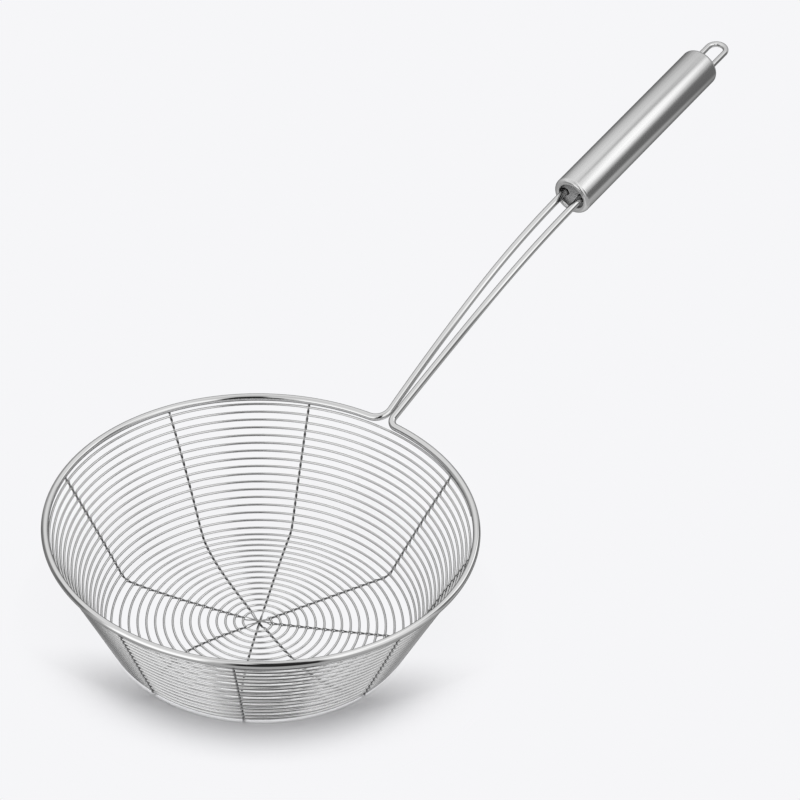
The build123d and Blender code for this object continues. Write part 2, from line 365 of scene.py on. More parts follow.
class CoilPath:
    """The spiral that the basket's wire follows on its surface."""

    def __init__(self, surface: BasketSurface, reach: float) -> None:
        """Take over the surface and work out the spiral's angles.

        Args:
            surface: The surface that carries the spiral.
            reach: The distance from the axis at which the spiral ends.
        """
        sizes = surface.coil
        self.surface, self.reach = surface, reach
        self.start = math.radians(sizes.start_azimuth)
        self.floor_rate = FULL_TURN / sizes.floor_pitch
        self.wall_rate = FULL_TURN / sizes.wall_pitch
        self.floor_angle = (surface.knee_middle - sizes.inner_radius) * self.floor_rate
        self.end_angle = self.angle(reach)

    def angle(self, distance: float) -> float:
        """Return the angle that the spiral has turned at a distance from the axis."""
        past_knee = distance - self.surface.knee_middle
        return self.floor_angle + past_knee * (self.wall_rate if past_knee > 0 else self.floor_rate)

    def point(self, angle: float) -> np.ndarray:
        """Return the spiral's point at an angle.

        Args:
            angle: The angle that the spiral has turned there, in radians.

        Returns:
            The point.
        """
        past_floor = angle - self.floor_angle
        rate = self.wall_rate if past_floor > 0 else self.floor_rate
        return self.surface.point(self.surface.knee_middle + past_floor / rate, self.start - angle)

    def stretch(self, first: float, last: float) -> np.ndarray:
        """Sample the spiral between two angles.

        Args:
            first: Angle of the first point.
            last: Angle of the last point.

        Returns:
            One row for each point.
        """
        count = math.ceil((last - first) / math.radians(FINE.coil_step))
        return np.array([self.point(angle) for angle in np.linspace(first, last, count + 1)])


@dataclass(frozen=True)
class RibHalf:
    """One half of a twisted pair, from the basket's middle to the rim."""

    surface: BasketSurface
    coil: CoilPath
    rib: RibSizes
    ring: RingSizes
    lean: Lean
    centre_azimuth: float
    centre_height: float

    def azimuth(self, distance: float) -> float:
        """Return where the half runs.

        Args:
            distance: Distance from the axis, measured along the surface.

        Returns:
            The half's azimuth there, in radians.
        """
        on_floor = math.radians(self.lean.on_floor)
        at_knee, at_rim = math.radians(self.lean.at_knee), math.radians(self.lean.at_rim)
        knee, rim = self.surface.knee_middle, self.surface.rim_reach
        swing = min(distance / knee, 1.0) ** self.rib.azimuth_power
        climb = max(distance - knee, 0.0) / (rim - knee)
        return on_floor + (at_knee - on_floor) * swing + (at_rim - at_knee) * climb

    def phase(self, distance: float) -> float:
        """Return the twist's phase, a whole number of half turns wherever the coil crosses."""
        return (self.coil.angle(distance) + self.azimuth(distance) - self.coil.start) / 2

    def first_half_turn(self) -> int:
        """Return the number of half turns at the innermost turn that this half crosses."""
        return math.ceil(self.phase(self.surface.coil.inner_radius) / math.pi)

    def first_crossing(self) -> float:
        """Find the innermost turn that this half crosses.

        Returns:
            Its distance from the axis.
        """
        target = self.first_half_turn() * math.pi
        distance = self.surface.coil.inner_radius
        for _ in range(FINE.crossing_rounds):
            distance += (target - self.phase(distance)) * 2 / self.coil.floor_rate
        return distance

    def crossing_count(self) -> int:
        """Return how many turns this half crosses."""
        return math.floor(self.phase(self.coil.reach) / math.pi) - self.first_half_turn() + 1

    def stop(self) -> float:
        """Find where the strands end, just short of the ring's wire.

        Returns:
            The distance from the axis.
        """
        thickness = self.ring.wire_diameter / 2
        over = abs(math.cos(self.phase(self.surface.rim_reach - thickness))) * self.surface.over_offset
        edge = max(over - self.rib.strand_diameter / 2, 0.0)
        return self.surface.rim_reach - self.rib.seat_gap - math.sqrt(thickness**2 - edge**2)

    def strand(self, sign: int) -> np.ndarray:
        """Sample one strand from the middle outward.

        Args:
            sign: 1 where the strand lies over the innermost turn, else -1.

        Returns:
            One row for each point, with its share of painted shade where the strands meet as fourth value.
        """
        crossing = self.first_crossing()
        base = self.phase(crossing)
        distances = np.append(np.arange(self.rib.crossing_flat, self.stop(), FINE.rib_step), self.stop())
        return np.array([self.place(float(value), crossing, base, sign) for value in distances])

    def place(self, distance: float, crossing: float, base: float, sign: int) -> np.ndarray:
        """Return one point of a strand and its share of painted shade where the two strands meet.

        Args:
            distance: The point's distance from the axis.
            crossing: Distance of the innermost turn that the half crosses.
            base: The twist's phase there.
            sign: 1 where the strand lies over that turn, else -1.

        Returns:
            The point and its share of painted shade.
        """
        azimuth = self.azimuth(distance)
        over, side = self.surface.over_offset, self.surface.side_offset
        if distance < crossing:
            inward = (crossing - distance) / (crossing - self.rib.crossing_flat)
            share = eased(inward)
            azimuth += (self.centre_azimuth - azimuth) * share
            lift = sign * over * (1 - share) + self.centre_height * share
            across = -sign * side * math.sin(inward * math.pi / 2)
            # Painted shade rises from none at the innermost crossed turn to half near the middle
            painted_shade = share / 2
        else:
            turned = self.phase(distance) - base
            lift = sign * over * math.cos(turned) ** self.rib.wrap_tightness
            across = sign * side * math.sin(turned)
            # Painted shade: none where the strands cross a turn, most between turns where they lie side by
            # side
            painted_shade = math.sin(turned) ** 2
        normal = self.surface.normal(distance, azimuth)
        aside = np.array([-math.sin(azimuth), math.cos(azimuth), 0.0])
        point = self.surface.point(distance, azimuth) + normal * lift + aside * across
        return np.append(point, painted_shade)


class HandleFrame:
    """Turns places on the handle into places on the object."""

    def __init__(self, sizes: HandleSizes, ring_level: float) -> None:
        """Set the handle's axis.

        Args:
            sizes: Sizes of the handle.
            ring_level: Height of the ring's centre line.
        """
        slope = math.radians(sizes.slope)
        self.direction = np.array([math.cos(slope), 0.0, math.sin(slope)])
        self.sideways = np.array([0.0, 1.0, 0.0])
        self.above = np.cross(self.direction, self.sideways)
        self.front = np.array([sizes.front_distance, 0.0, ring_level + sizes.front_rise])

    def point(self, side: float, along: float, lift: float = 0.0) -> np.ndarray:
        """Return the place at distances sideways, along the axis and above it."""
        return self.front + self.sideways * side + self.direction * along + self.above * lift


def add_node(
    tree: bpy.types.NodeTree, kind: str, inputs: dict[str | int, Feed], **settings: object
) -> bpy.types.Node:
    """Add a node to a tree.

    Args:
        tree: The tree.
        kind: Type of the node.
        inputs: What its sockets take, by their names or numbers.
        settings: The node's own settings by name, such as its operation.

    Returns:
        The node.
    """
    node = tree.nodes.new(kind)
    for name, value in settings.items():
        setattr(node, name, value)
    for name, value in inputs.items():
        if isinstance(value, bpy.types.NodeSocket):
            tree.links.new(value, node.inputs[name])
        else:
            node.inputs[name].default_value = value
    return node


def calculate(tree: bpy.types.NodeTree, operation: str, *values: Feed) -> bpy.types.NodeSocket:
    """Add a Math node.

    Args:
        tree: The tree that it goes into.
        operation: What it works out.
        values: Its values in order.

    Returns:
        The socket with its result.
    """
    node = add_node(tree, "ShaderNodeMath", dict(enumerate(values)), operation=operation)
    return node.outputs["Value"]


def mix(
    tree: bpy.types.NodeTree, kind: MixKind, share: Feed, first: Feed, second: Feed
) -> bpy.types.NodeSocket:
    """Add a Mix node.

    Args:
        tree: The tree that it goes into.
        kind: What it mixes.
        share: How much of the second value it takes.
        first: The first value.
        second: The second value.

    Returns:
        The socket with its result.
    """
    data_type, first_number, second_number, result_number = kind.value
    inputs = {0: share, first_number: first, second_number: second}
    return add_node(tree, "ShaderNodeMix", inputs, data_type=data_type).outputs[result_number]


def mark(mesh: bpy.types.Mesh, name: str, kind: ValueKind, values: Sequence[float] | np.ndarray) -> None:
    """Store a value at each point of a mesh.

    Args:
        mesh: The mesh.
        name: Name of the attribute.
        kind: What the attribute holds.
        values: One value for each point.
    """
    mesh.attributes.new(name, kind.value, "POINT")
    part = "vector" if kind is ValueKind.VECTOR else "value"
    mesh.attributes[name].data.foreach_set(part, np.ravel(values))


def shown(name: str, mesh: bpy.types.Mesh) -> bpy.types.Object:
    """Put a mesh into the scene with smooth, outward faces.

    Args:
        name: Name of the new object.
        mesh: Its mesh.

    Returns:
        The object.
    """
    work = bmesh.new()
    work.from_mesh(mesh)
    bmesh.ops.recalc_face_normals(work, faces=work.faces)
    if work.calc_volume(signed=True) < 0:
        bmesh.ops.reverse_faces(work, faces=work.faces)
    for face in work.faces:
        face.smooth = True
    work.to_mesh(mesh)
    work.free()
    mesh.set_sharp_from_angle(angle=math.radians(FINE.sharp_angle))
    piece = bpy.data.objects.new(name, mesh)
    bpy.context.scene.collection.objects.link(piece)
    return piece


class WireMaker:
    """Makes smooth round wires along paths with a geometry node group."""

    def __init__(self) -> None:
        """Build the node group once."""
        self.tree = tree = bpy.data.node_groups.new("round wire along path", "GeometryNodeTree")
        face = tree.interface
        face.new_socket("Path", in_out="INPUT", socket_type="NodeSocketGeometry")
        self.radius = face.new_socket("Radius", in_out="INPUT", socket_type="NodeSocketFloat")
        self.sides = face.new_socket("Sides", in_out="INPUT", socket_type="NodeSocketInt")
        self.material = face.new_socket("Material", in_out="INPUT", socket_type="NodeSocketMaterial")
        face.new_socket("Wire", in_out="OUTPUT", socket_type="NodeSocketGeometry")
        given = add_node(tree, "NodeGroupInput", {}).outputs
        path = add_node(tree, "GeometryNodeMeshToCurve", {"Mesh": given["Path"]})
        length = add_node(tree, "GeometryNodeSplineParameter", {}).outputs["Length"]
        path_curve = self._store(path.outputs["Curve"], WIRE_LENGTH, ValueKind.NUMBER, length)
        section = {"Resolution": given["Sides"], "Radius": given["Radius"]}
        circle = add_node(tree, "GeometryNodeCurvePrimitiveCircle", section)
        position = add_node(tree, "GeometryNodeInputPosition", {}).outputs["Position"]
        round_curve = self._store(circle.outputs["Curve"], WIRE_SECTION, ValueKind.VECTOR, position)
        curves = {"Curve": path_curve, "Profile Curve": round_curve, "Fill Caps": True}
        skin = add_node(tree, "GeometryNodeCurveToMesh", curves).outputs["Mesh"]
        across = add_node(
            tree, "ShaderNodeSeparateXYZ", {"Vector": self._read(WIRE_SECTION, ValueKind.VECTOR)}
        ).outputs
        parts = {"X": across["X"], "Y": across["Y"], "Z": self._read(WIRE_LENGTH, ValueKind.NUMBER)}
        coordinate = add_node(tree, "ShaderNodeCombineXYZ", parts).outputs["Vector"]
        marked = self._store(skin, WIRE_COORDINATE, ValueKind.VECTOR, coordinate)
        real = add_node(tree, "GeometryNodeRealizeInstances", {"Geometry": marked}).outputs["Geometry"]
        dressing = {"Geometry": real, "Material": given["Material"]}
        dressed = add_node(tree, "GeometryNodeSetMaterial", dressing).outputs["Geometry"]
        add_node(tree, "NodeGroupOutput", {"Wire": dressed})

    def _store(
        self, shape: bpy.types.NodeSocket, name: str, kind: ValueKind, value: bpy.types.NodeSocket
    ) -> bpy.types.NodeSocket:
        """Add a node that stores a value at each point of a shape.

        Args:
            shape: The shape's socket.
            name: Name of the attribute.
            kind: What the attribute holds.
            value: The value's socket.

        Returns:
            The socket with the marked shape.
        """
        inputs = {"Geometry": shape, "Name": name, "Value": value}
        settings = {"data_type": kind.value, "domain": "POINT"}
        node = add_node(self.tree, "GeometryNodeStoreNamedAttribute", inputs, **settings)
        return node.outputs["Geometry"]

    def _read(self, name: str, kind: ValueKind) -> bpy.types.NodeSocket:
        """Add a node that reads a stored value.

        Args:
            name: Name of the attribute.
            kind: What the attribute holds.

        Returns:
            The socket with the value.
        """
        inputs = {"Name": name}
        node = add_node(self.tree, "GeometryNodeInputNamedAttribute", inputs, data_type=kind.value)
        return node.outputs["Attribute"]

    def make(
        self, name: str, points: np.ndarray, diameter: float, sides: int, material: bpy.types.Material
    ) -> bpy.types.Object:
        """Make one wire.

        Args:
            name: Name of the piece.
            points: Centre line in millimetres, one row for each point, and as fourth value, where
            there is one, the point's share of painted shade.
            diameter: Diameter of the wire in millimetres.
            sides: Number of sides of its round section.
            material: The wire's finish.

        Returns:
            The piece as a plain mesh object.
        """
        places, painted_shades = points[:, :3], points[:, 3:]
        path = bpy.data.meshes.new(f"{name} path")
        edges = [(number, number + 1) for number in range(len(places) - 1)]
        path.from_pydata((places * MM).tolist(), edges, [])
        # Painted shade where twisted strands meet, stored along the path
        if painted_shades.size:
            mark(path, PAINTED_SHADE, ValueKind.NUMBER, painted_shades)
        holder = bpy.data.objects.new(f"{name} holder", path)
        bpy.context.scene.collection.objects.link(holder)
        modifier = holder.modifiers.new("wire", "NODES")
        modifier.node_group = self.tree
        modifier[self.radius.identifier] = diameter * MM / 2
        modifier[self.sides.identifier] = sides
        modifier[self.material.identifier] = material
        graph = bpy.context.evaluated_depsgraph_get()
        mesh = bpy.data.meshes.new_from_object(holder.evaluated_get(graph))
        mesh.name = name
        bpy.data.objects.remove(holder)
        bpy.data.meshes.remove(path)
        return shown(name, mesh)


def lathe(
    name: str, outline: np.ndarray, frame: HandleFrame, material: bpy.types.Material
) -> bpy.types.Object:
    """Turn a closed outline round the handle's axis.

    Args:
        name: Name of the piece.
        outline: Rows of radius and distance along the axis, in order round the outline.
        frame: Where the handle lies.
        material: The piece's finish.

    Returns:
        The turned piece.
    """
    sides, count = FINE.tube_sides, len(outline)
    vertices, marks = [], []
    for number in range(sides):
        angle = FULL_TURN * number / sides
        for radius, along in outline:
            side, lift = radius * math.cos(angle), radius * math.sin(angle)
            vertices.append(tuple(frame.point(side, along, lift) * MM))
            marks.append((side * MM, lift * MM, along * MM))
    faces = []
    for number in range(sides):
        here, there = number * count, (number + 1) % sides * count
        for place in range(count):
            after = (place + 1) % count
            faces.append((here + place, here + after, there + after, there + place))
    mesh = bpy.data.meshes.new(name)
    mesh.from_pydata(vertices, [], faces)
    mark(mesh, WIRE_COORDINATE, ValueKind.VECTOR, np.array(marks))
    mesh.materials.append(material)
    return shown(name, mesh)


def attach(piece: bpy.types.Object, slot: Slot, *nodes: str) -> None:
    """Let a finished piece ride on the object in place of its construction nodes.

    Args:
        piece: The finished piece.
        slot: The record's slot of the piece's finish; not used.
        nodes: The construction nodes that it stands for.
    """
    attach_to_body(piece, ROOT_BODY)
    for node in nodes:
        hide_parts(node)
    LOG.info("%s: %d faces", piece.name, len(piece.data.polygons))


def start_material(
    slot: Slot, group: bpy.types.NodeTree, levels: dict[str, float], relief: float
) -> tuple[bpy.types.Material, bpy.types.Node, bpy.types.Node]:
    """Start a material that takes its colour and a shallow relief from a shared effect.

    Args:
        slot: The record's slot, which names the material.
        group: The shared effect.
        levels: The effect's own values in this material.
        relief: Strength of the relief.

    Returns:
        The material, its shader and its effect node.
    """
    material = bpy.data.materials.new(slot.value)
    material.use_nodes = True
    tree = material.node_tree
    shader = tree.nodes["Principled BSDF"]
    effect = add_node(tree, "ShaderNodeGroup", {}, node_tree=group)
    for label, value in levels.items():
        effect.inputs[label].default_value = value
    height = {"Strength": relief, "Distance": RELIEF_DEPTH * MM, "Height": effect.outputs["Height"]}
    bump = add_node(tree, "ShaderNodeBump", height)
    tree.links.new(effect.outputs["Color"], shader.inputs["Base Color"])
    tree.links.new(bump.outputs["Normal"], shader.inputs["Normal"])
    return material, shader, effect


@dataclass(frozen=True)
class Steel:
    """A drawn steel finish, with streaks that are fine across the piece and long along it, and painted
    shade where twisted strands meet.
    """

    tone: float
    roughness: float
    relief: float = 0.1
    # Tone that the painted shade darkens towards where twisted strands meet
    painted_shade_tone: float = 0.5
    edge_tint: float = 0.25
    tone_change: float = 0.06
    across: float = 4000.0
    along: float = 30.0

    def make(self, slot: Slot, group: bpy.types.NodeTree) -> bpy.types.Material:
        """Make the material.

        Args:
            slot: The record's slot, which names the material.
            group: The effect of drawn steel.

        Returns:
            The material.
        """
        levels = {
            "Tone": self.tone,
            "Tone Change": self.tone_change,
            "Painted Shade Tone": self.painted_shade_tone,
            "Roughness": self.roughness,
            "Across": self.across,
            "Along": self.along,
        }
        material, shader, effect = start_material(slot, group, levels, self.relief)
        shader.inputs["Metallic"].default_value = 1.0
        shader.inputs["Specular Tint"].default_value = (self.edge_tint,) * 3 + (1.0,)
        material.node_tree.links.new(effect.outputs["Roughness"], shader.inputs["Roughness"])
        return material


@dataclass(frozen=True)
class Plastic:
    """A plain matte plastic finish with a fine grain."""

    tone: float
    roughness: float = 0.55
    relief: float = 0.2

    def make(self, slot: Slot, group: bpy.types.NodeTree) -> bpy.types.Material:
        """Make the material.

        Args:
            slot: The record's slot, which names the material.
            group: The effect of moulded plastic.

        Returns:
            The material.
        """
        material, shader, _ = start_material(slot, group, {"Tone": self.tone}, self.relief)
        shader.inputs["Roughness"].default_value = self.roughness
        return material


class Finishes:
    """All materials of the object, by slot."""

    streak_detail: float = 4.0
    noise_middle: float = 0.5
    steels: dict[Slot, Steel] = {
        Slot.FRAME: Steel(tone=0.57, roughness=0.05),
        Slot.COIL: Steel(tone=0.57, roughness=0.09),
        # The ribs get painted shade down to a tone of 0.1 where their strands meet
        Slot.RIB: Steel(tone=0.52, roughness=0.15, painted_shade_tone=0.1),
        Slot.LOOP: Steel(tone=0.57, roughness=0.05),
        Slot.TUBE: Steel(
            tone=0.55, roughness=0.2, relief=0.25, tone_change=0.13, across=1500.0, along=12.0
        ),
    }
    plastics: dict[Slot, Plastic] = {
        Slot.PLUG: Plastic(tone=0.33),
        Slot.ANCHOR: Plastic(tone=0.2),
    }

    def __init__(self) -> None:
        """Build the shared effects first, then each material."""
        drawn, moulded = self._drawn_steel_group(), self._moulded_group()
        self.by_slot = {slot: look.make(slot, drawn) for slot, look in self.steels.items()}
        self.by_slot |= {slot: look.make(slot, moulded) for slot, look in self.plastics.items()}

    @staticmethod
    def _group(name: str, inputs: dict[str, float], outputs: dict[str, str]) -> bpy.types.NodeTree:
        """Start a shader group.

        Args:
            name: Name of the group.
            inputs: Its named values and what they are at first.
            outputs: Its named results and their socket types.

        Returns:
            The group.
        """
        tree = bpy.data.node_groups.new(name, "ShaderNodeTree")
        for label, value in inputs.items():
            socket = tree.interface.new_socket(label, in_out="INPUT", socket_type="NodeSocketFloat")
            socket.default_value = value
        for label, kind in outputs.items():
            tree.interface.new_socket(label, in_out="OUTPUT", socket_type=kind)
        return tree

    def _drawn_steel_group(self) -> bpy.types.NodeTree:
        """Build the faint streaks that run along a drawn wire or tube, and the painted shade where twisted
        strands meet.

        Returns:
            The effect's group.
        """
        values = {
            "Tone": 0.8,
            "Tone Change": 0.06,
            # Tone of the painted shade where twisted strands meet
            "Painted Shade Tone": 0.5,
            "Roughness": 0.1,
            "Roughness Change": 0.06,
            "Across": 4000.0,
            "Along": 30.0,
        }
        results = {"Color": "NodeSocketColor", "Roughness": "NodeSocketFloat", "Height": "NodeSocketFloat"}
        tree = self._group("drawn steel", values, results)
        given = add_node(tree, "NodeGroupInput", {}).outputs
        place = add_node(tree, "ShaderNodeAttribute", {}, attribute_name=WIRE_COORDINATE)
        scales = {"X": given["Across"], "Y": given["Across"], "Z": given["Along"]}
        scale = add_node(tree, "ShaderNodeCombineXYZ", scales)
        both = {0: place.outputs["Vector"], 1: scale.outputs["Vector"]}
        stretched = add_node(tree, "ShaderNodeVectorMath", both, operation="MULTIPLY")
        noise = {"Vector": stretched.outputs["Vector"], "Scale": 1.0, "Detail": self.streak_detail}
        streak = add_node(tree, "ShaderNodeTexNoise", noise).outputs["Fac"]
        centred = calculate(tree, "SUBTRACT", streak, self.noise_middle)
        # Painted shade: the tone moves toward the shade tone by the stored share
        painted_shade = add_node(tree, "ShaderNodeAttribute", {}, attribute_name=PAINTED_SHADE).outputs["Fac"]
        tone = mix(tree, MixKind.NUMBER, painted_shade, given["Tone"], given["Painted Shade Tone"])
        colour = calculate(tree, "MULTIPLY_ADD", centred, given["Tone Change"], tone)
        roughness = calculate(
            tree, "MULTIPLY_ADD", centred, given["Roughness Change"], given["Roughness"]
        )
        add_node(tree, "NodeGroupOutput", {"Color": colour, "Roughness": roughness, "Height": streak})
        return tree

    def _moulded_group(self) -> bpy.types.NodeTree:
        """Build the fine grain of moulded plastic.

        Returns:
            The effect's group.
        """
        values = {"Tone": 0.4, "Tone Change": 0.06, "Grain": 2500.0}
        results = {"Color": "NodeSocketColor", "Height": "NodeSocketFloat"}
        tree = self._group("moulded grain", values, results)
        given = add_node(tree, "NodeGroupInput", {}).outputs
        place = add_node(tree, "ShaderNodeTexCoord", {}).outputs["Object"]
        noise = {"Vector": place, "Scale": given["Grain"]}
        grain = add_node(tree, "ShaderNodeTexNoise", noise).outputs["Fac"]
        colour = calculate(tree, "MULTIPLY_ADD", grain, given["Tone Change"], given["Tone"])
        add_node(tree, "NodeGroupOutput", {"Color": colour, "Height": grain})
        return tree


@dataclass
class Basket:
    """Ring, neck, shafts, coil and ribs."""

    ring: RingSizes
    coil: CoilSizes
    rib: RibSizes
    handle: HandleSizes
    surface: BasketSurface = field(init=False)
    path: CoilPath = field(init=False)
    frame: HandleFrame = field(init=False)

    def __post_init__(self) -> None:
        """Work out the surface and the paths from the sizes."""
        self.surface = BasketSurface(self.ring, self.coil, self.rib)
        below_rim = (self.ring.wire_diameter + self.coil.wire_diameter) / 2 + self.coil.ring_gap
        self.path = CoilPath(self.surface, self.surface.rim_reach - below_rim)
        self.frame = HandleFrame(self.handle, self.surface.ring_level)

    def build(self, maker: WireMaker, finishes: Finishes) -> None:
        """Make every wire of the basket and its frame.

        Args:
            maker: Makes the wires.
            finishes: The object's materials.
        """
        steel = finishes.by_slot[Slot.FRAME]
        thickness = self.ring.wire_diameter - 2 * FINE.skin_inset
        wire = maker.make("frame", self.frame_path(), thickness, FINE.frame_sides, steel)
        attach(wire, Slot.FRAME, "frame_wire")
        steel = finishes.by_slot[Slot.COIL]
        stretches = {
            "floor": (0.0, self.path.floor_angle),
            "wall": (self.path.floor_angle, self.path.end_angle),
        }
        for name, (first, last) in stretches.items():
            points = self.path.stretch(first, last)
            wire = maker.make(f"{name}_turns", points, self.coil.wire_diameter, FINE.coil_sides, steel)
            attach(wire, Slot.COIL, f"{name}_coil")
        steel = finishes.by_slot[Slot.RIB]
        for layer, (number, halves) in enumerate(RIBS.items()):
            for letter, sign in (("a", 1), ("b", -1)):
                name, points = f"rib_{number}_{letter}", self.strand(layer, halves, sign)
                wire = maker.make(name, points, self.rib.strand_diameter, FINE.strand_sides, steel)
                attach(wire, Slot.RIB, f"rib_{number}_strand_{letter}")

    def strand(self, layer: int, halves: tuple[Lean, Lean], sign: int) -> np.ndarray:
        """Sample one strand from rim to rim.

        Args:
            layer: How many pairs lie below this one in the basket's middle.
            halves: Azimuths of the pair's two halves.
            sign: 1 for the strand that starts on the food's side at the first rim, else -1.

        Returns:
            One row for each point.
        """
        height = layer * (self.rib.strand_diameter + self.rib.layer_gap) - self.surface.over_offset
        behind, before = (math.radians(half.on_floor) for half in halves)
        ahead = heading(before) - heading(behind)
        toward = math.atan2(ahead[1], ahead[0])
        sides = []
        for lean, floor, turn in ((halves[0], behind, math.pi), (halves[1], before, 0.0)):
            near = toward + turn + round((floor - toward - turn) / FULL_TURN) * FULL_TURN
            sides.append(RibHalf(self.surface, self.path, self.rib, self.ring, lean, near, height))
        first_sign = sign * (-1) ** (sides[0].crossing_count() - 1)
        return np.vstack([sides[0].strand(first_sign)[::-1], sides[1].strand(-first_sign)])

    def neck(self, side: int) -> tuple[np.ndarray, np.ndarray, np.ndarray, float]:
        """Find where one shaft leaves the ring.

        Args:
            side: 1 for the shaft on +Y, -1 for the other.

        Returns:
            The bend's start on the ring, its end, the shaft's direction there and the start's azimuth.
        """
        rise = math.radians(self.ring.shaft_start_slope)
        spread = math.radians(self.ring.shaft_start_spread)
        leaving = unit(
            np.array([math.cos(rise) * math.cos(spread), side * math.sin(spread), math.sin(rise)])
        )
        azimuth, reach, along_ring = 0.0, 0.0, leaving
        bend = self.ring.neck_bend_radii[0 if side > 0 else 1]
        for _ in range(FINE.neck_rounds):
            along_ring = np.array([math.sin(azimuth), -side * math.cos(azimuth), 0.0])
            reach = bend * math.tan(math.acos(along_ring.dot(leaving)) / 2)
            inset = -side * (along_ring + leaving)[1] * reach
            azimuth = math.asin((self.ring.neck_spacing / 2 + inset) / self.ring.radius)
        start = self.ring_point(side * azimuth)
        return start, start + (along_ring + leaving) * reach, leaving, azimuth

    def ring_point(self, azimuth: float) -> np.ndarray:
        """Return a point of the ring at an azimuth in radians."""
        return heading(azimuth) * self.ring.radius + UP * self.surface.ring_level

    def frame_path(self) -> np.ndarray:
        """Sample the frame wire: out of the handle, round the ring and back into the handle.

        Returns:
            One row for each point.
        """
        near_start, near_end, near_leaving, near_azimuth = self.neck(1)
        far_start, far_end, far_leaving, far_azimuth = self.neck(-1)
        half, inside = self.handle.shaft_spacing / 2, self.handle.shaft_in_tube
        direction = self.frame.direction
        count = math.ceil(math.degrees(FULL_TURN) / FINE.ring_step)
        stops = np.linspace(near_azimuth, FULL_TURN - far_azimuth, count)
        toward_neck = np.array([math.sin(far_azimuth), math.cos(far_azimuth), 0.0])
        mouth, far_mouth = self.frame.point(half, 0.0), self.frame.point(-half, 0.0)
        return np.vstack(
            [
                self.frame.point(half, inside),
                biarc(mouth, -direction, near_end, -near_leaving, FINE.arc_steps),
                arc(near_end, -near_leaving, near_start, FINE.bend_steps),
                np.array([self.ring_point(value) for value in stops[:-1]]),
                arc(far_start, toward_neck, far_end, FINE.bend_steps),
                biarc(far_end, far_leaving, far_mouth, direction, FINE.arc_steps),
                far_mouth,
                self.frame.point(-half, inside),
            ]
        )


@dataclass
class Handle:
    """The tube, the hanging loop and the plugs."""

    sizes: HandleSizes
    frame: HandleFrame
    shaft_diameter: float

    def build(self, maker: WireMaker, finishes: Finishes) -> None:
        """Make the tube and the loop.

        Args:
            maker: Makes the wires.
            finishes: The object's materials.
        """
        tube = lathe("tube", self.tube_outline(), self.frame, finishes.by_slot[Slot.TUBE])
        attach(tube, Slot.TUBE, "handle_tube")
        thickness = self.sizes.loop_wire_diameter - 2 * FINE.skin_inset
        steel = finishes.by_slot[Slot.LOOP]
        loop = maker.make("loop", self.loop_path(), thickness, FINE.loop_sides, steel)
        attach(loop, Slot.LOOP, "hanging_loop")

    def dress(self, finishes: Finishes, nodes: dict[str, bpy.types.Object]) -> None:
        """Give the plugs their finish.

        Args:
            finishes: The object's materials.
            nodes: The construction nodes by name.
        """
        plugs = {"front_plug": Slot.PLUG, "shaft_anchor": Slot.ANCHOR, "loop_anchor": Slot.ANCHOR}
        for name, slot in plugs.items():
            nodes[name].data.materials.clear()
            nodes[name].data.materials.append(finishes.by_slot[slot])
            LOG.info("%s: %s", name, slot.value)

    def loop_path(self) -> np.ndarray:
        """Sample the loop: two straight legs and a round end.

        Returns:
            One row for each point.
        """
        sizes, place = self.sizes, self.frame.point
        half, inside = sizes.loop_spacing / 2, sizes.length - sizes.loop_in_tube
        bend = sizes.length + sizes.loop_straight
        turns = np.linspace(0.0, math.pi, 2 * FINE.arc_steps + 1)
        crown = [place(half * math.cos(turn), bend + half * math.sin(turn)) for turn in turns]
        return np.vstack([place(half, inside), *crown, place(-half, inside)])

    def tube_outline(self) -> np.ndarray:
        """Return the tube's closed outline as rows of radius and distance along the axis."""
        return np.vstack([self.skin(0.0), self.skin(self.sizes.wall)[::-1]])

    def skin(self, depth: float) -> np.ndarray:
        """Sample the tube's skin from its front mouth to its rear mouth.

        Args:
            depth: How far below the outer skin it lies.

        Returns:
            Rows of radius and distance along the axis.
        """
        sizes, shoulder = self.sizes, self.sizes.shoulder_radius
        crown = sizes.diameter / 2 - shoulder
        front_mouth = (sizes.shaft_spacing + self.shaft_diameter) / 2 + sizes.mouth_gap
        rear_mouth = (sizes.loop_spacing + sizes.loop_wire_diameter) / 2 + sizes.mouth_gap
        front_lip, rear_lip = crown - front_mouth, crown - rear_mouth
        # Each corner's place along the axis, its radius, and the turns in degrees that it runs between
        corners = (
            (front_lip, front_lip, 180, 270),
            (shoulder, shoulder, 270, 360),
            (sizes.length - shoulder, shoulder, 0, 90),
            (sizes.length - rear_lip, rear_lip, 90, 180),
        )
        rows = []
        for along, bend, first, last in corners:
            reach = bend - depth
            for turn in np.radians(np.linspace(first, last, FINE.lip_steps)):
                rows.append((crown + reach * math.cos(turn), along + reach * math.sin(turn)))
        outline = np.array(rows)
        steps = np.linalg.norm(np.diff(outline, axis=0), axis=1)
        return outline[np.append(True, steps > FINE.least_step)]


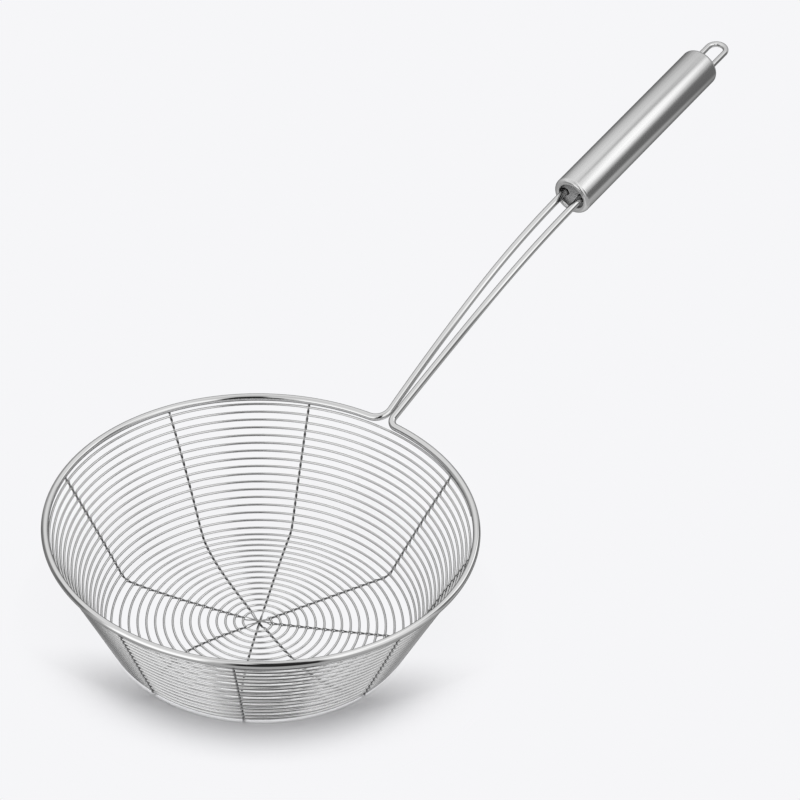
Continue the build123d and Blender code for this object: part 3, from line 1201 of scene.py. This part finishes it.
@dataclass(frozen=True)
class View:
    """Where the photograph was taken from, seen from the ring's centre."""

    azimuth: float = -56.2
    elevation: float = 36.76
    roll: float = -2.11
    distance: float = 1944.8
    aim_right: float = 56.9
    aim_up: float = 51.7
    lens: float = 213.7
    sensor: float = 36.0

    def axes(self) -> tuple[np.ndarray, np.ndarray, np.ndarray]:
        """Work out how the picture lies in space.

        Returns:
            The directions right, up and ahead in the picture.
        """
        turn, tilt, roll = (math.radians(value) for value in (self.azimuth, self.elevation, self.roll))
        level = np.array([math.cos(turn), math.sin(turn), 0.0])
        away = np.array([-math.sin(turn), math.cos(turn), 0.0])
        ahead = away * math.cos(tilt) - UP * math.sin(tilt)
        upright = away * math.sin(tilt) + UP * math.cos(tilt)
        right = level * math.cos(roll) - upright * math.sin(roll)
        up = level * math.sin(roll) + upright * math.cos(roll)
        return right, up, ahead

    def set_camera(self, ring_level: float) -> None:
        """Put the camera in its place.

        Args:
            ring_level: Height of the ring's centre line.
        """
        right, up, ahead = self.axes()
        place = UP * ring_level + right * self.aim_right + up * self.aim_up - ahead * self.distance
        data = bpy.data.cameras.new("photo view")
        data.lens, data.sensor_width = self.lens, self.sensor
        camera = bpy.data.objects.new("photo view", data)
        turned = Matrix((right, up, -ahead)).transposed().to_4x4()
        camera.matrix_world = Matrix.Translation(Vector(place * MM)) @ turned
        bpy.context.scene.collection.objects.link(camera)
        bpy.context.scene.camera = camera


@dataclass(frozen=True)
class Patch:
    """A soft-edged patch of the studio's tent, in degrees as the photo sees them from the basket."""

    first: float
    last: float
    low: float
    high: float
    tone: float
    edge: float = 9.0

    def cover(self, azimuth: float, elevation: float) -> float:
        """Return how much of the patch a direction shows.

        Args:
            azimuth: The direction's azimuth, 0 to the photo's right and 90 away from its camera.
            elevation: Its height above the level.

        Returns:
            A share from 0 to 1.
        """
        middle = (self.first + self.last) / 2
        aside = abs((azimuth - middle + 180) % 360 - 180) - (self.last - self.first) / 2
        beyond = max(aside, self.low - elevation, elevation - self.high)
        return 1 - eased(beyond / self.edge + 0.5)


@dataclass(frozen=True)
class Studio:
    """Plain floor, soft light and the pale tent that polished metal shows, in metres."""

    view: View
    ring_level: float
    background: tuple[float, float, float, float] = (0.922, 0.922, 0.939, 1.0)
    floor_size: float = 60.0
    # The floor turns into the background between these distances from the origin
    glow_start: float = 0.062
    glow_end: float = 0.106
    # It also does with the distance behind the origin, as the camera sees it, up to this share
    behind_start: float = -0.055
    behind_end: float = -0.015
    behind_glow: float = 0.95
    world_light: float = 0.22
    lamp_size: float = 1.0
    lamp_power: float = 25.0
    lamp_place: tuple[float, float, float] = (0.0, -0.6, 1.6)
    tent_centre: float = 0.11
    tent_reach: tuple[float, float, float] = (0.36, 0.24, 0.42)
    tent_columns: int = 120
    tent_rows: int = 36
    # The tent starts at a circle of this radius, just above the floor
    tent_foot: float = 0.1
    tent_foot_height: float = 0.0003
    # The tent's tones by the angle above the level, before the patches cover it in their order
    tent_heights: tuple[float, ...] = (-40.0, -14.0, 0.0, 12.0, 25.0, 38.0, 50.0, 70.0, 90.0)
    tent_tones: tuple[float, ...] = (0.6, 0.6, 0.66, 0.8, 1.08, 1.2, 1.15, 1.05, 0.75)
    patches: tuple[Patch, ...] = (
        Patch(118.0, 148.0, -8.0, 26.0, 0.66, 10.0),
        Patch(146.0, 174.0, -12.0, 20.0, 0.34, 10.0),
        Patch(172.0, 198.0, -12.0, 24.0, 0.22, 10.0),
        Patch(-6.0, 15.0, 2.0, 36.0, 0.26, 7.0),
        Patch(12.0, 47.0, -4.0, 14.0, 0.22, 5.0),
        Patch(34.0, 62.0, -30.0, -7.0, 0.95, 6.0),
        Patch(51.0, 58.0, 24.0, 40.0, 0.72, 6.0),
        Patch(33.0, 50.0, 19.0, 33.0, 1.75, 5.0),
        Patch(-34.0, 40.0, 48.0, 72.0, 1.45),
        Patch(17.0, 33.0, 23.0, 44.0, 1.75, 5.0),
        Patch(-57.0, -12.0, 36.0, 57.0, 1.7, 6.0),
        Patch(-58.0, -44.0, 14.0, 40.0, 1.6, 5.0),
        Patch(-44.0, -16.0, 4.0, 37.0, 1.2, 7.0),
        Patch(-152.0, -109.0, -5.0, 34.0, 1.75, 8.0),
        Patch(-152.0, -112.0, 34.0, 60.0, 1.25, 8.0),
        Patch(-100.0, -62.0, -9.0, 34.0, 0.03, 6.0),
        Patch(-91.0, -62.0, 30.0, 70.0, 0.05, 6.0),
    )

    def build(self) -> None:
        """Set up floor, world, lamp and tent."""
        self._floor()
        self._world()
        self._lamp()
        self._tent()
        bpy.context.scene.view_settings.view_transform = "Standard"

    @staticmethod
    def _stand(
        name: str, places: list[Sequence[float]], faces: list[Sequence[int]]
    ) -> tuple[bpy.types.Object, bpy.types.NodeTree, bpy.types.NodeInputs]:
        """Put a piece of the studio in place, with a matte material of its own.

        Args:
            name: Name of the piece.
            places: Its points.
            faces: Its faces.

        Returns:
            The piece, its material's tree and the inputs of its shader.
        """
        mesh = bpy.data.meshes.new(name)
        mesh.from_pydata(places, [], faces)
        material = bpy.data.materials.new(name)
        material.use_nodes = True
        mesh.materials.append(material)
        inputs = material.node_tree.nodes["Principled BSDF"].inputs
        inputs["Specular IOR Level"].default_value = 0.0
        piece = bpy.data.objects.new(name, mesh)
        bpy.context.scene.collection.objects.link(piece)
        return piece, material.node_tree, inputs

    @staticmethod
    def _looked_at(tree: bpy.types.NodeTree) -> bpy.types.NodeSocket:
        """Tell what is looked at from what is only lit.

        Args:
            tree: The material's or the world's tree.

        Returns:
            A socket that is 1 where the camera, a mirror or glass looks, else 0.
        """
        ray = add_node(tree, "ShaderNodeLightPath", {}).outputs
        seen = calculate(tree, "MAXIMUM", ray["Is Camera Ray"], ray["Is Glossy Ray"])
        return calculate(tree, "MAXIMUM", seen, ray["Is Transmission Ray"])

    @staticmethod
    def _rise(
        tree: bpy.types.NodeTree, measure: bpy.types.Node, start: float, end: float, top: float
    ) -> bpy.types.NodeSocket:
        """Let a value rise softly with a measure.

        Args:
            tree: The tree that it goes into.
            measure: The node that measures a place.
            start: The measure at which the value starts to rise from 0.
            end: The measure at which it has risen.
            top: The value there.

        Returns:
            The socket with the value.
        """
        span = {"Value": measure.outputs["Value"], "From Min": start, "From Max": end, "To Max": top}
        ramp = add_node(tree, "ShaderNodeMapRange", span, interpolation_type="SMOOTHSTEP")
        return ramp.outputs["Result"]

    def _floor(self) -> None:
        """Lay a plain pale floor that turns into the plain background away from the basket."""
        half = self.floor_size / 2
        corners = [(-half, -half, 0), (half, -half, 0), (half, half, 0), (-half, half, 0)]
        floor, tree, inputs = self._stand("floor", corners, [(0, 1, 2, 3)])
        place = add_node(tree, "ShaderNodeTexCoord", {}).outputs["Object"]
        both = {0: place, 1: self._turned(0.0, 1.0, 0.0)}
        away = add_node(tree, "ShaderNodeVectorMath", both, operation="DOT_PRODUCT")
        behind = self._rise(tree, away, self.behind_start, self.behind_end, self.behind_glow)
        far = add_node(tree, "ShaderNodeVectorMath", {0: place}, operation="LENGTH")
        outside = self._rise(tree, far, self.glow_start, self.glow_end, 1.0)
        most = calculate(tree, "MAXIMUM", behind, outside)
        glow = calculate(tree, "MULTIPLY", most, self._looked_at(tree))
        colour = mix(tree, MixKind.COLOUR, glow, self.background, BLACK)
        inputs["Roughness"].default_value = 1.0
        inputs["Emission Color"].default_value = self.background
        tree.links.new(colour, inputs["Base Color"])
        tree.links.new(glow, inputs["Emission Strength"])

    def _world(self) -> None:
        """Light from all round, and the plain background where the camera or a mirror looks at it."""
        world = bpy.data.worlds.new("studio")
        world.use_nodes = True
        bpy.context.scene.world = world
        tree = world.node_tree
        looked_at, inputs = self._looked_at(tree), tree.nodes["Background"].inputs
        colour = mix(tree, MixKind.COLOUR, looked_at, WHITE, self.background)
        strength = mix(tree, MixKind.NUMBER, looked_at, self.world_light, 1.0)
        tree.links.new(colour, inputs["Color"])
        tree.links.new(strength, inputs["Strength"])

    def _lamp(self) -> None:
        """Hang one large soft lamp above and before the object, which polished surfaces don't mirror."""
        data = bpy.data.lights.new("soft lamp", "AREA")
        data.shape, data.size, data.energy = "SQUARE", self.lamp_size, self.lamp_power
        lamp = bpy.data.objects.new("soft lamp", data)
        place = self._turned(*self.lamp_place)
        lamp.matrix_world = Matrix.Translation(place) @ place.to_track_quat("Z", "Y").to_matrix().to_4x4()
        lamp.visible_glossy = False
        bpy.context.scene.collection.objects.link(lamp)

    def _turned(self, right: float, away: float, up: float) -> Vector:
        """Return a place given as the photo sees it.

        Args:
            right: How far it lies to the right.
            away: How far it lies away from the camera.
            up: Its height.

        Returns:
            The place.
        """
        turn = math.radians(self.view.azimuth)
        cos, sin = math.cos(turn), math.sin(turn)
        return Vector((right * cos - away * sin, right * sin + away * cos, up))

    def _tone(self, place: Vector) -> float:
        """Find how light the tent is at a place.

        Args:
            place: A place on the tent.

        Returns:
            The tent's tone where one looks at the place from the middle of the ring.
        """
        ray = place - Vector((0.0, 0.0, self.ring_level * MM))
        right, away = ray.dot(self._turned(1.0, 0.0, 0.0)), ray.dot(self._turned(0.0, 1.0, 0.0))
        azimuth = math.degrees(math.atan2(away, right))
        elevation = math.degrees(math.atan2(ray.z, math.hypot(right, away)))
        tone = float(np.interp(elevation, self.tent_heights, self.tent_tones))
        for patch in self.patches:
            tone += (patch.tone - tone) * patch.cover(azimuth, elevation)
        return tone

    def _tent_places(self) -> list[Vector]:
        """Place the tent's points: a circle on the floor, then rows up an oval dome.

        Returns:
            The points, row by row.
        """
        columns = np.linspace(0.0, FULL_TURN, self.tent_columns, endpoint=False)
        foot, lift = self.tent_foot, self.tent_foot_height
        places = [Vector((foot * math.cos(column), foot * math.sin(column), lift)) for column in columns]
        wide, deep, tall = self.tent_reach
        for row in np.linspace(0.0, math.pi / 2, self.tent_rows, endpoint=False):
            level, height = math.cos(row), math.sin(row) * tall
            for column in columns:
                along = math.cos(column) * level * wide + self.tent_centre
                places.append(Vector((along, math.sin(column) * level * deep, height)))
        return places

    def _tent(self) -> None:
        """Stand a pale tent round the object, which only polished surfaces show."""
        places, count = self._tent_places(), self.tent_columns
        faces = []
        for row in range(self.tent_rows):
            here, there = row * count, (row + 1) * count
            for column in range(count):
                after = (column + 1) % count
                faces.append((here + column, here + after, there + after, there + column))
        faces.append(tuple(range(self.tent_rows * count, (self.tent_rows + 1) * count)))
        tent, tree, inputs = self._stand("tent", places, faces)
        mark(tent.data, TENT_TONE, ValueKind.NUMBER, [self._tone(place) for place in places])
        tone = add_node(tree, "ShaderNodeAttribute", {}, attribute_name=TENT_TONE)
        inputs["Base Color"].default_value = BLACK
        inputs["Emission Color"].default_value = WHITE
        tree.links.new(tone.outputs["Fac"], inputs["Emission Strength"])
        tent.visible_camera = tent.visible_diffuse = tent.visible_shadow = False


def main() -> None:
    """Build the pieces in order, then the studio and the camera."""
    logging.basicConfig(level=logging.INFO, format="%(name)s: %(message)s")
    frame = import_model()
    ring, coil, rib, handle_sizes = RingSizes(), CoilSizes(), RibSizes(), HandleSizes()
    finishes = Finishes()
    maker = WireMaker()
    basket = Basket(ring, coil, rib, handle_sizes)
    basket.build(maker, finishes)
    handle = Handle(handle_sizes, basket.frame, ring.wire_diameter)
    handle.build(maker, finishes)
    handle.dress(finishes, frame["nodes"])
    view = View()
    Studio(view, basket.surface.ring_level).build()
    view.set_camera(basket.surface.ring_level)


if __name__ == "__main__":
    main()
